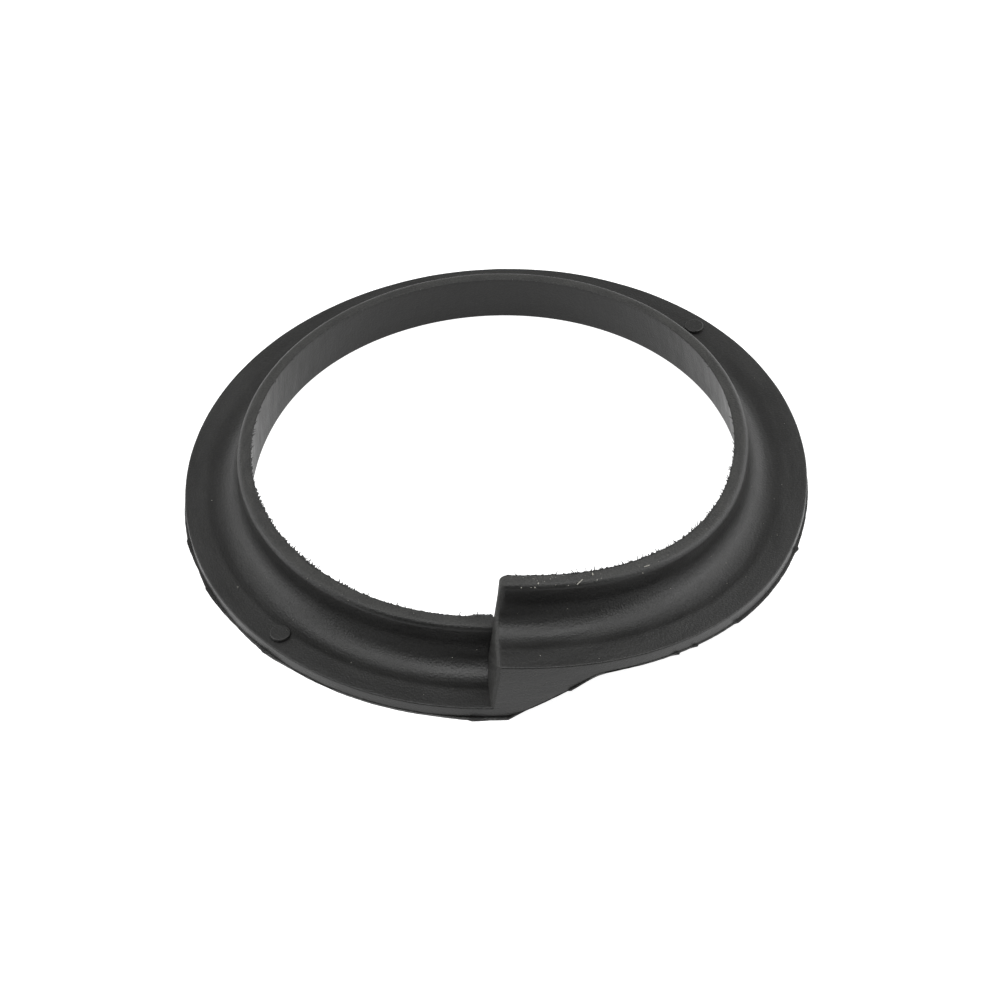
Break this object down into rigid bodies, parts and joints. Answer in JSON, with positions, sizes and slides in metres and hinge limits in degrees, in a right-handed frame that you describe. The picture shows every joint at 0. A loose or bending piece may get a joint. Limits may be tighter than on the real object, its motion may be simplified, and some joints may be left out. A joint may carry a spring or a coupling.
{
  "type": "upper coil spring mount",
  "caption": "Moulded rubber spring seat ring with an inner collar, a wire groove that climbs around one turn, and a step that stops the end of the spring.",
  "frame": {"origin": "on the ring's axis, level with the flat underside that the mount rests on", "axes": "+Z along the ring's axis, towards the side that holds the spring; the step faces -Y, and the section climbs clockwise seen from above, up to the step"},
  "size_m": [0.16, 0.16, 0.0296],
  "materials": {
    "moulded_rubber": "matt black moulded rubber"
  },
  "bodies": {
    "root": {"upper_spring_mount": "moulded_rubber"}
  },
  "joints": []
}
